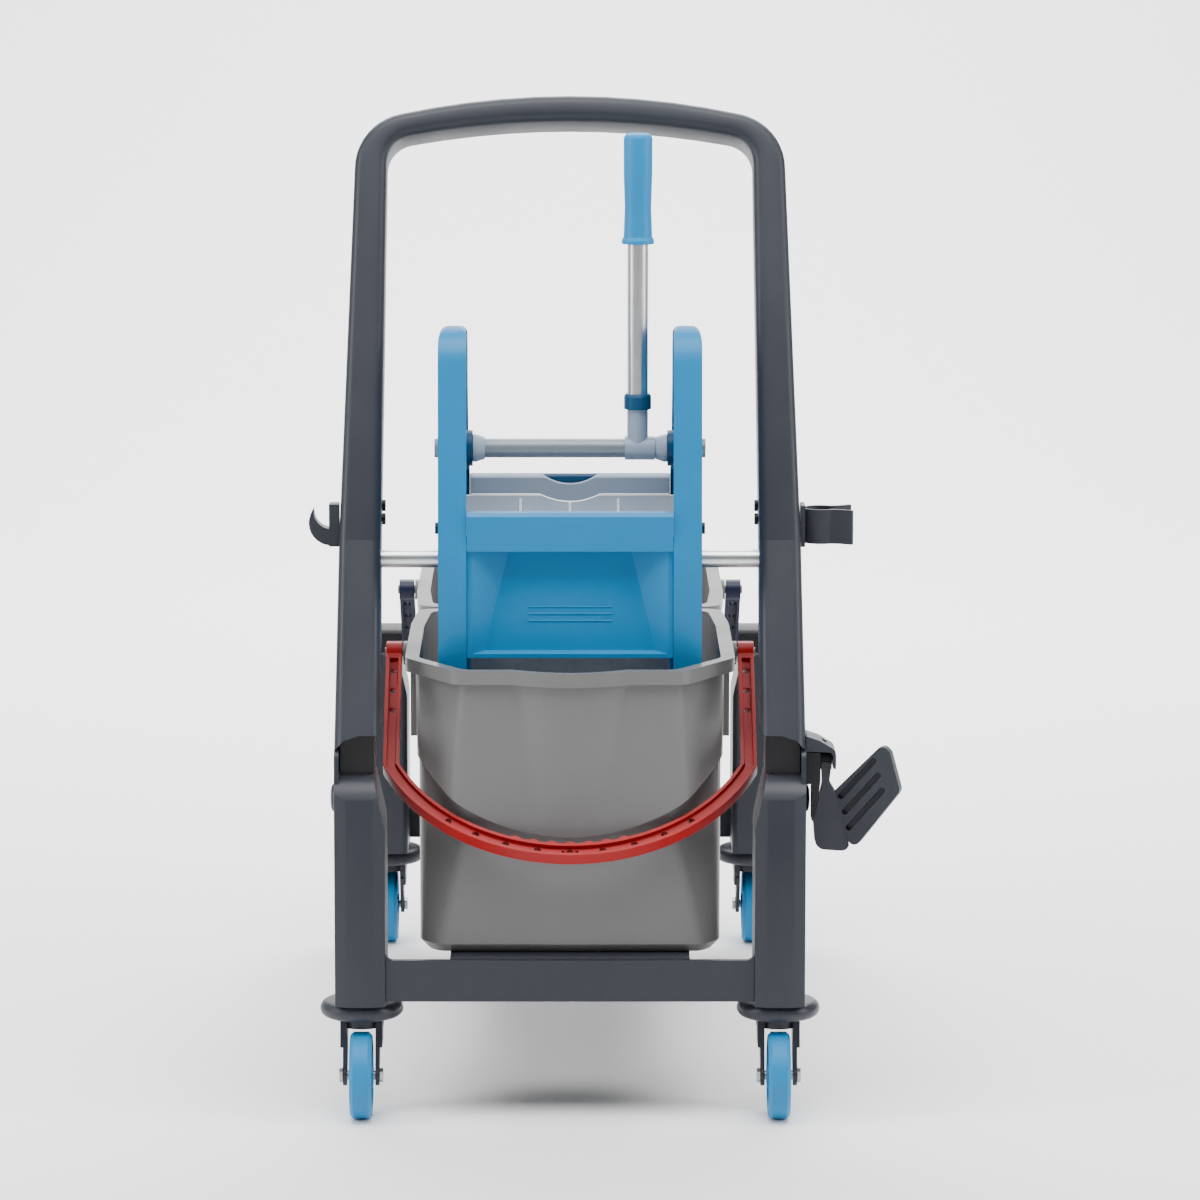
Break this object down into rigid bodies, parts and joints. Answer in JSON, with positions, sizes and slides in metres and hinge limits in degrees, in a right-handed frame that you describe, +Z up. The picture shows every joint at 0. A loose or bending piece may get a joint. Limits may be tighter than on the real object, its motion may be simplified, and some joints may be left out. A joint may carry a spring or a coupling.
{
  "type": "mop trolley",
  "caption": "Double-bucket mop trolley on swivel casters with a leaning handle frame, lever press wringer, bail handles, mop clip, hook and latch pedal.",
  "frame": {"origin": "on the floor under the middle of the whole cart's box", "axes": "+Z up, +Y along the cart from the handle end to the far end, +X to the right seen from the handle end"},
  "size_m": [0.5112, 0.795, 0.8669],
  "materials": {
    "slate_plastic": "fine moulded grain",
    "black_plastic": "satin",
    "black_steel": "black screw heads",
    "aluminium_tube": "drawn tube, satin",
    "zinc_steel": "zinc plated",
    "grey_bucket": "smooth moulded",
    "red_bail": "smooth moulded",
    "navy_bail": "smooth moulded",
    "blue_plastic": "smooth moulded",
    "teal_plastic": "smooth moulded",
    "blue_grip": "soft satin",
    "blue_tread": "satin tread",
    "grey_plastic": "moulded",
    "pale_plastic": "moulded",
    "grey_steel": "grey tube"
  },
  "bodies": {
    "frame": {"near_beam": "slate_plastic", "far_beam": "slate_plastic", "middle_beam": "slate_plastic", "left_rail": "slate_plastic", "right_rail": "slate_plastic", "near_left_post": "slate_plastic", "near_right_post": "slate_plastic", "far_left_post": "slate_plastic", "far_right_post": "slate_plastic", "bumper_discs": "slate_plastic", "post_caps": "black_plastic", "leg_sockets": "black_plastic", "leg_bolts": "slate_plastic", "left_leg": "slate_plastic", "right_leg": "slate_plastic", "handle_arch": "slate_plastic", "cross_tube": "aluminium_tube", "arch_screws": "black_steel", "hook": "slate_plastic", "handle_clip": "slate_plastic", "near_bucket": "grey_bucket", "pedal_bracket": "slate_plastic", "latch_block": "black_plastic", "pedal_pin": "zinc_steel"},
    "far_bucket": {"far_bucket": "grey_bucket"},
    "near_bail": {"near_bail": "red_bail"},
    "far_bail": {"far_bail": "navy_bail"},
    "wringer": {"left_cheek": "blue_plastic", "right_cheek": "blue_plastic", "front_panel": "blue_plastic", "rear_wall": "grey_plastic", "rear_bar": "teal_plastic", "drain_grate": "grey_plastic", "tie_screws": "black_steel"},
    "lever": {"lever_shaft": "grey_steel", "shaft_cones": "grey_plastic", "cranks": "teal_plastic", "lever_socket": "grey_plastic", "lever_collar": "teal_plastic", "lever_tube": "aluminium_tube", "lever_grip": "blue_grip"},
    "jaw": {"jaw": "pale_plastic"},
    "pedal": {"pedal": "slate_plastic"},
    "near_left_swivel": {"near_left_fork": "slate_plastic", "near_left_axle": "zinc_steel"},
    "near_left_wheel": {"near_left_wheel": "blue_tread"},
    "near_right_swivel": {"near_right_fork": "slate_plastic", "near_right_axle": "zinc_steel"},
    "near_right_wheel": {"near_right_wheel": "blue_tread"},
    "far_left_swivel": {"far_left_fork": "slate_plastic", "far_left_axle": "zinc_steel"},
    "far_left_wheel": {"far_left_wheel": "blue_tread"},
    "far_right_swivel": {"far_right_fork": "slate_plastic", "far_right_axle": "zinc_steel"},
    "far_right_wheel": {"far_right_wheel": "blue_tread"}
  },
  "joints": [
    {"name": "near_left_swivel_turn", "type": "hinge", "parent": "frame", "child": "near_left_swivel", "pos_m": [-0.20906, -0.338, 0.09], "axis": [0, 0, 1], "continuous": true},
    {"name": "near_left_wheel_spin", "type": "hinge", "parent": "near_left_swivel", "child": "near_left_wheel", "pos_m": [-0.20906, -0.36, 0.0375], "axis": [1, 0, 0], "continuous": true},
    {"name": "near_right_swivel_turn", "type": "hinge", "parent": "frame", "child": "near_right_swivel", "pos_m": [0.15094, -0.338, 0.09], "axis": [0, 0, 1], "continuous": true},
    {"name": "near_right_wheel_spin", "type": "hinge", "parent": "near_right_swivel", "child": "near_right_wheel", "pos_m": [0.15094, -0.36, 0.0375], "axis": [1, 0, 0], "continuous": true},
    {"name": "far_left_swivel_turn", "type": "hinge", "parent": "frame", "child": "far_left_swivel", "pos_m": [-0.20906, 0.338, 0.09], "axis": [0, 0, 1], "continuous": true},
    {"name": "far_left_wheel_spin", "type": "hinge", "parent": "far_left_swivel", "child": "far_left_wheel", "pos_m": [-0.20906, 0.36, 0.0375], "axis": [1, 0, 0], "continuous": true},
    {"name": "far_right_swivel_turn", "type": "hinge", "parent": "frame", "child": "far_right_swivel", "pos_m": [0.15094, 0.338, 0.09], "axis": [0, 0, 1], "continuous": true},
    {"name": "far_right_wheel_spin", "type": "hinge", "parent": "far_right_swivel", "child": "far_right_wheel", "pos_m": [0.15094, 0.36, 0.0375], "axis": [1, 0, 0], "continuous": true},
    {"name": "far_bucket_lift", "type": "slide", "parent": "frame", "child": "far_bucket", "axis": [0, 0, 1], "range_m": [0, 0.25]},
    {"name": "near_bail_swing", "type": "hinge", "parent": "frame", "child": "near_bail", "pos_m": [-0.02906, -0.185, 0.379], "axis": [-1, 0, 0], "range_deg": [0, 75]},
    {"name": "far_bail_swing", "type": "hinge", "parent": "far_bucket", "child": "far_bail", "pos_m": [-0.02906, 0.185, 0.379], "axis": [1, 0, 0], "range_deg": [0, 200]},
    {"name": "wringer_lift", "type": "slide", "parent": "frame", "child": "wringer", "axis": [0, 0, 1], "range_m": [0, 0.2]},
    {"name": "lever_turn", "type": "hinge", "parent": "wringer", "child": "lever", "pos_m": [-0.02906, -0.256, 0.5695], "axis": [1, 0, 0], "range_deg": [0, 70]},
    {"name": "jaw_slide", "type": "slide", "parent": "wringer", "child": "jaw", "axis": [0, 1, 0], "range_m": [0, 0.069]},
    {"name": "pedal_press", "type": "hinge", "parent": "frame", "child": "pedal", "pos_m": [0.19094, -0.336, 0.309], "axis": [1, 0, 0], "range_deg": [0, 20], "stiffness_Nm_per_rad": 1.2, "springref_deg": -8.59}
  ],
  "couplings": [
    {"joint": "jaw_slide", "follows": "lever_turn", "m_per_rad": 0.056337}
  ]
}
